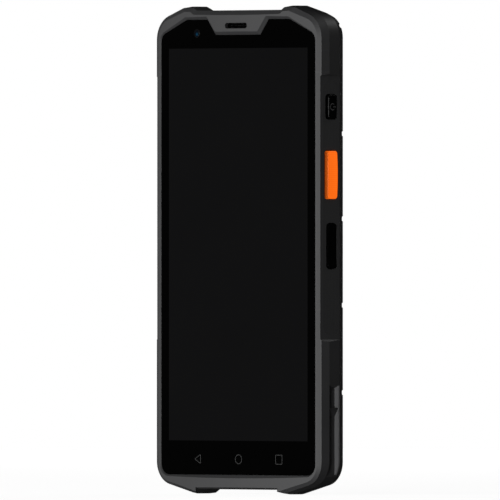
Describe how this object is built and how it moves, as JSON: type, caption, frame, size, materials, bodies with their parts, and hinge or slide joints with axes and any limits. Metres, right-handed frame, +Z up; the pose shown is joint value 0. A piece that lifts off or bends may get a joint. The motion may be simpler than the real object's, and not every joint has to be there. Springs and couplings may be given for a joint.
{
  "type": "rugged handheld terminal",
  "caption": "Rugged handheld touch-screen reader with a raised rim, side scan keys, a volume rocker, an accessory rail and a lift-off battery.",
  "frame": {"origin": "middle of the bottom of the case, standing upright", "axes": "+Z up the long side, -Y out of the screen, +X towards the power key side"},
  "size_m": [0.0766, 0.015, 0.1552],
  "materials": {
    "rim_plastic": "fine grained dark grey",
    "case_plastic": "fine grained near black",
    "rail_grey": "smooth light grey wear strip",
    "grip_rubber": "dotted soft grip",
    "seal_rubber": "smooth black silicone",
    "cover_glass": "polished, printed black behind",
    "display": "dark screen",
    "touch_strip": "sensor film",
    "key_black": "gloss black",
    "key_orange": "satin orange, fine ribs",
    "lens_glass": "coated dark lens",
    "red_window": "dark red filter",
    "flash": "ribbed pale lens",
    "camera_bezel": "dark anodised",
    "mesh_steel": "fine dark mesh",
    "chassis_metal": "die cast",
    "board": "green solder mask",
    "shield_metal": "tinned cans",
    "screw_steel": "black zinc",
    "lock_metal": "satin",
    "contact_gold": "gold plated",
    "component_black": "moulded black",
    "steel": "bright",
    "battery_wrap": "wrapped pack",
    "ribbon_film": "amber film"
  },
  "bodies": {
    "case": {"front_frame": "rim_plastic", "cover_glass": "cover_glass", "glass_seal": "seal_rubber", "display_panel": "display", "touch_key_strip": "touch_strip", "front_camera": "component_black", "proximity_sensor": "component_black", "earpiece_mesh": "mesh_steel", "earpiece_speaker": "component_black", "mid_chassis": "chassis_metal", "main_board": "board", "shield_cans": "shield_metal", "board_screws": "screw_steel", "vibration_motor": "steel", "loudspeaker": "component_black", "speaker_mesh": "mesh_steel", "scan_engine": "component_black", "scan_window": "red_window", "rear_camera": "component_black", "camera_ring": "camera_bezel", "camera_window": "lens_glass", "flash_lens": "flash", "sub_board": "board", "usb_socket": "steel", "usb_hinge_pin": "steel", "microphone": "steel", "dock_contact_holder": "component_black", "dock_contacts": "contact_gold", "board_ribbon": "ribbon_film", "rear_housing": "case_plastic", "housing_seal": "seal_rubber", "housing_screws": "screw_steel", "rail_strip_right": "rail_grey", "rail_strip_left": "rail_grey", "side_grip_right": "grip_rubber", "side_grip_left": "grip_rubber", "key_seals": "seal_rubber", "key_board_right": "board", "key_board_left": "board", "side_switches": "steel", "battery_terminal": "component_black", "battery_seal": "seal_rubber"},
    "power_key": {"power_key": "key_black"},
    "scan_key_right": {"scan_key_right": "key_orange"},
    "scan_key_left": {"scan_key_left": "key_orange"},
    "volume_rocker": {"volume_rocker": "key_black"},
    "usb_flap": {"usb_flap": "grip_rubber"},
    "battery_pack": {"battery_cover": "case_plastic", "battery_cells": "battery_wrap", "battery_pads": "contact_gold"},
    "cover_lock_left": {"cover_lock_left": "lock_metal"},
    "cover_lock_right": {"cover_lock_right": "lock_metal"}
  },
  "joints": [
    {"name": "power_key_press", "type": "slide", "parent": "case", "child": "power_key", "axis": [-1, 0, 0], "range_m": [0, 0.0004], "stiffness_N_per_m": 500},
    {"name": "scan_key_right_press", "type": "slide", "parent": "case", "child": "scan_key_right", "axis": [-1, 0, 0], "range_m": [0, 0.0005], "stiffness_N_per_m": 600},
    {"name": "scan_key_left_press", "type": "slide", "parent": "case", "child": "scan_key_left", "axis": [1, 0, 0], "range_m": [0, 0.0005], "stiffness_N_per_m": 600},
    {"name": "volume_rocker_tilt", "type": "hinge", "parent": "case", "child": "volume_rocker", "pos_m": [0.0362, -0.0022, 0.07885], "axis": [0, 1, 0], "range_deg": [-2, 2], "stiffness_Nm_per_rad": 0.05},
    {"name": "usb_flap_swing", "type": "hinge", "parent": "case", "child": "usb_flap", "pos_m": [0, 0.0024, 0.0025], "axis": [1, 0, 0], "range_deg": [0, 90]},
    {"name": "battery_pack_lift", "type": "slide", "parent": "case", "child": "battery_pack", "axis": [0, 1, 0], "range_m": [0, 0.03]},
    {"name": "cover_lock_left_turn", "type": "hinge", "parent": "battery_pack", "child": "cover_lock_left", "pos_m": [-0.0235, 0.0065, 0.0163], "axis": [0, 1, 0], "range_deg": [0, 90]},
    {"name": "cover_lock_right_turn", "type": "hinge", "parent": "battery_pack", "child": "cover_lock_right", "pos_m": [0.0235, 0.0065, 0.0163], "axis": [0, 1, 0], "range_deg": [0, 90]}
  ]
}
